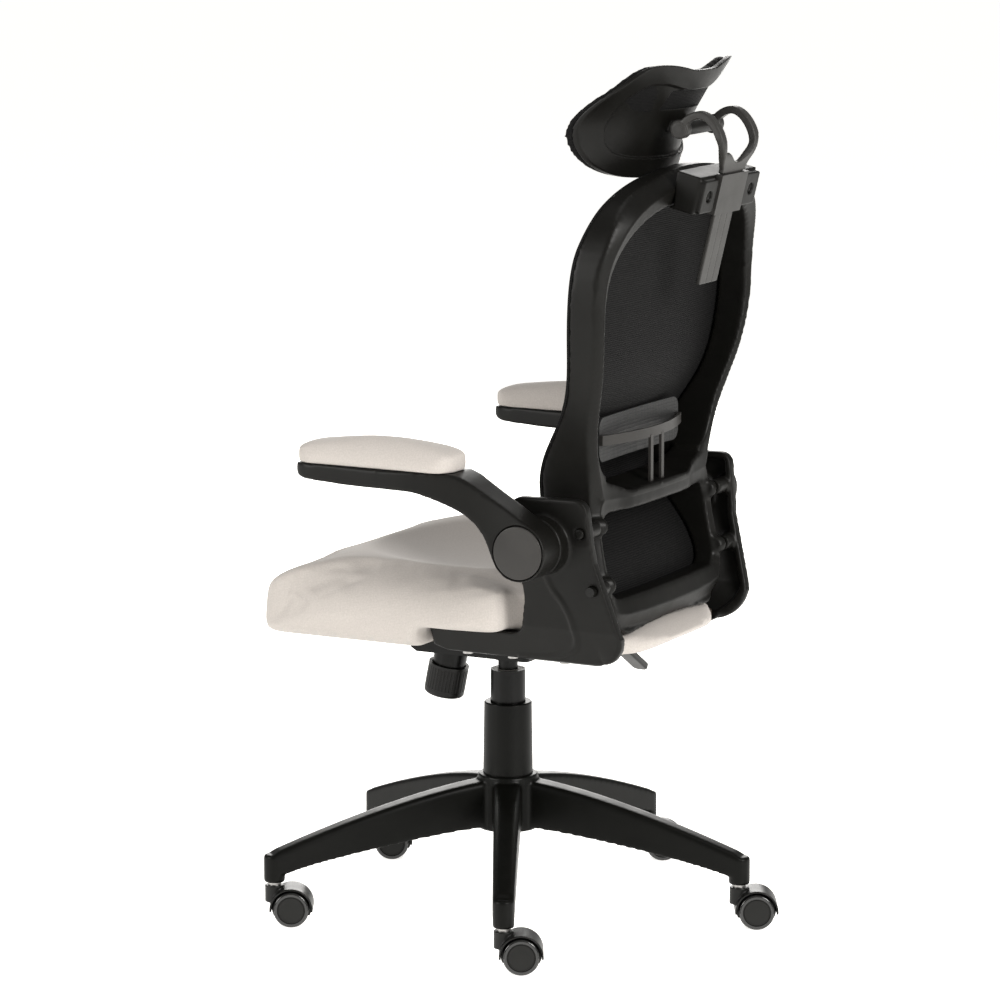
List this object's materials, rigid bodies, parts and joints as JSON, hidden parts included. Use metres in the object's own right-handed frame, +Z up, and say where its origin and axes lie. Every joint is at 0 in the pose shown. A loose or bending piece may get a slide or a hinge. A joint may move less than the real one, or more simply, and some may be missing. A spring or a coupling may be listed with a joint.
{
  "type": "office swivel chair",
  "caption": "High-back mesh swivel chair with padded seat, flip-up armrests, adjustable headrest and lumbar support on a caster base.",
  "frame": {"origin": "on the floor, on the column axis", "axes": "+Z up, the chair faces -Y, +X is the sitter's left"},
  "size_m": [0.719, 0.7222, 1.2171],
  "materials": {
    "black_plastic": "moulded, satin with a fine grain",
    "wheel_plastic": "hard nylon tread",
    "black_steel": "powder coated",
    "bare_steel": "turned",
    "bush_plastic": "moulded",
    "plywood": "bare plywood",
    "grey_fabric": "light warm grey woven cover over foam",
    "black_mesh": "tight knitted mesh"
  },
  "bodies": {
    "root": {"base_star": "black_plastic", "stand_tube": "black_steel", "guide_bush": "bush_plastic", "column_cover": "black_plastic"},
    "rotor": {"piston_rod": "bare_steel", "thrust_bearing": "bare_steel"},
    "lift": {"gas_cylinder": "black_steel", "tilt_housing": "black_steel", "tilt_axle": "bare_steel", "tilt_spring": "bare_steel"},
    "tension": {"tension_knob": "black_plastic", "tension_screw": "bare_steel"},
    "lever_slider": {"lever_bush": "bush_plastic"},
    "lever": {"lift_lever": "black_steel", "lever_paddle": "black_plastic"},
    "seat": {"seat_plate": "black_steel", "seat_board": "plywood", "seat_bolts": "bare_steel", "seat_cushion": "grey_fabric", "side_bracket_left": "black_plastic", "side_bracket_right": "black_plastic", "back_screws": "black_plastic", "arm_pivot_left": "bare_steel", "arm_pivot_right": "bare_steel", "back_frame": "black_plastic", "back_mesh": "black_mesh", "headrest_block": "black_plastic", "headrest_clamp": "black_plastic"},
    "lumbar": {"lumbar_pad": "black_plastic", "lumbar_brace": "black_plastic"},
    "arm_left": {"armrest_left": "black_plastic", "arm_pad_left": "grey_fabric", "hub_cap_left": "black_plastic"},
    "arm_right": {"armrest_right": "black_plastic", "arm_pad_right": "grey_fabric", "hub_cap_right": "black_plastic"},
    "head_post": {"headrest_post": "black_plastic", "headrest_pin": "bare_steel"},
    "headrest": {"headrest_shell": "black_plastic", "headrest_pad": "black_mesh"},
    "caster_1": {"caster_hood_1": "black_plastic", "caster_pins_1": "bare_steel"},
    "wheel_1_right": {"wheel_1_right": "wheel_plastic"},
    "wheel_1_left": {"wheel_1_left": "wheel_plastic"},
    "caster_2": {"caster_hood_2": "black_plastic", "caster_pins_2": "bare_steel"},
    "wheel_2_right": {"wheel_2_right": "wheel_plastic"},
    "wheel_2_left": {"wheel_2_left": "wheel_plastic"},
    "caster_3": {"caster_hood_3": "black_plastic", "caster_pins_3": "bare_steel"},
    "wheel_3_right": {"wheel_3_right": "wheel_plastic"},
    "wheel_3_left": {"wheel_3_left": "wheel_plastic"},
    "caster_4": {"caster_hood_4": "black_plastic", "caster_pins_4": "bare_steel"},
    "wheel_4_right": {"wheel_4_right": "wheel_plastic"},
    "wheel_4_left": {"wheel_4_left": "wheel_plastic"},
    "caster_5": {"caster_hood_5": "black_plastic", "caster_pins_5": "bare_steel"},
    "wheel_5_right": {"wheel_5_right": "wheel_plastic"},
    "wheel_5_left": {"wheel_5_left": "wheel_plastic"}
  },
  "joints": [
    {"name": "caster_1_swivel", "type": "hinge", "parent": "root", "child": "caster_1", "pos_m": [0.30786, 0.15349, 0.06], "axis": [0, 0, 1], "continuous": true},
    {"name": "wheel_1_right_roll", "type": "hinge", "parent": "caster_1", "child": "wheel_1_right", "pos_m": [0.29678, 0.17478, 0.025], "axis": [-0.887, -0.4617, 0], "continuous": true},
    {"name": "wheel_1_left_roll", "type": "hinge", "parent": "caster_1", "child": "wheel_1_left", "pos_m": [0.29678, 0.17478, 0.025], "axis": [-0.887, -0.4617, 0], "continuous": true},
    {"name": "caster_2_swivel", "type": "hinge", "parent": "root", "child": "caster_2", "pos_m": [-0.05085, 0.34022, 0.06], "axis": [0, 0, 1], "continuous": true},
    {"name": "wheel_2_right_roll", "type": "hinge", "parent": "caster_2", "child": "wheel_2_right", "pos_m": [-0.06193, 0.36151, 0.025], "axis": [-0.887, -0.4617, 0], "continuous": true},
    {"name": "wheel_2_left_roll", "type": "hinge", "parent": "caster_2", "child": "wheel_2_left", "pos_m": [-0.06193, 0.36151, 0.025], "axis": [-0.887, -0.4617, 0], "continuous": true},
    {"name": "caster_3_swivel", "type": "hinge", "parent": "root", "child": "caster_3", "pos_m": [-0.33928, 0.05678, 0.06], "axis": [0, 0, 1], "continuous": true},
    {"name": "wheel_3_right_roll", "type": "hinge", "parent": "caster_3", "child": "wheel_3_right", "pos_m": [-0.35036, 0.07806, 0.025], "axis": [-0.887, -0.4617, 0], "continuous": true},
    {"name": "wheel_3_left_roll", "type": "hinge", "parent": "caster_3", "child": "wheel_3_left", "pos_m": [-0.35036, 0.07806, 0.025], "axis": [-0.887, -0.4617, 0], "continuous": true},
    {"name": "caster_4_swivel", "type": "hinge", "parent": "root", "child": "caster_4", "pos_m": [-0.15884, -0.30513, 0.06], "axis": [0, 0, 1], "continuous": true},
    {"name": "wheel_4_right_roll", "type": "hinge", "parent": "caster_4", "child": "wheel_4_right", "pos_m": [-0.16992, -0.28384, 0.025], "axis": [-0.887, -0.4617, 0], "continuous": true},
    {"name": "wheel_4_left_roll", "type": "hinge", "parent": "caster_4", "child": "wheel_4_left", "pos_m": [-0.16992, -0.28384, 0.025], "axis": [-0.887, -0.4617, 0], "continuous": true},
    {"name": "caster_5_swivel", "type": "hinge", "parent": "root", "child": "caster_5", "pos_m": [0.24111, -0.24536, 0.06], "axis": [0, 0, 1], "continuous": true},
    {"name": "wheel_5_right_roll", "type": "hinge", "parent": "caster_5", "child": "wheel_5_right", "pos_m": [0.23003, -0.22407, 0.025], "axis": [-0.887, -0.4617, 0], "continuous": true},
    {"name": "wheel_5_left_roll", "type": "hinge", "parent": "caster_5", "child": "wheel_5_left", "pos_m": [0.23003, -0.22407, 0.025], "axis": [-0.887, -0.4617, 0], "continuous": true},
    {"name": "column_swivel", "type": "hinge", "parent": "root", "child": "rotor", "pos_m": [0, 0, 0.2], "axis": [0, 0, 1], "continuous": true},
    {"name": "height_slide", "type": "slide", "parent": "rotor", "child": "lift", "axis": [0, 0, 1], "range_m": [-0.012, 0.06]},
    {"name": "seat_tilt", "type": "hinge", "parent": "lift", "child": "seat", "pos_m": [0, -0.055, 0.394], "axis": [-1, 0, 0], "range_deg": [0, 12], "stiffness_Nm_per_rad": 120, "springref_deg": -28.65},
    {"name": "tension_turn", "type": "hinge", "parent": "lift", "child": "tension", "pos_m": [0, -0.104, 0.3], "axis": [0, 0.1994, 0.9799], "range_deg": [-360, 360]},
    {"name": "lever_pull", "type": "slide", "parent": "lift", "child": "lever_slider", "axis": [-1, 0, 0], "range_m": [0, 0.012]},
    {"name": "lever_lift", "type": "hinge", "parent": "lever_slider", "child": "lever", "pos_m": [-0.066, 0.03, 0.381], "axis": [0, 1, 0], "range_deg": [0, 6], "stiffness_Nm_per_rad": 2, "springref_deg": -17.19},
    {"name": "arm_flip_left", "type": "hinge", "parent": "seat", "child": "arm_left", "pos_m": [0.286, 0.175, 0.578], "axis": [-1, 0, 0], "range_deg": [0, 90]},
    {"name": "arm_flip_right", "type": "hinge", "parent": "seat", "child": "arm_right", "pos_m": [-0.286, 0.175, 0.578], "axis": [-1, 0, 0], "range_deg": [0, 90]},
    {"name": "headrest_height", "type": "slide", "parent": "seat", "child": "head_post", "axis": [0, 0.2334, 0.9724], "range_m": [0, 0.05]},
    {"name": "headrest_tilt", "type": "hinge", "parent": "head_post", "child": "headrest", "pos_m": [0, 0.29, 1.128], "axis": [1, 0, 0], "range_deg": [-25, 8]},
    {"name": "lumbar_height", "type": "slide", "parent": "seat", "child": "lumbar", "axis": [0, 0, 1], "range_m": [-0.022, 0]}
  ]
}
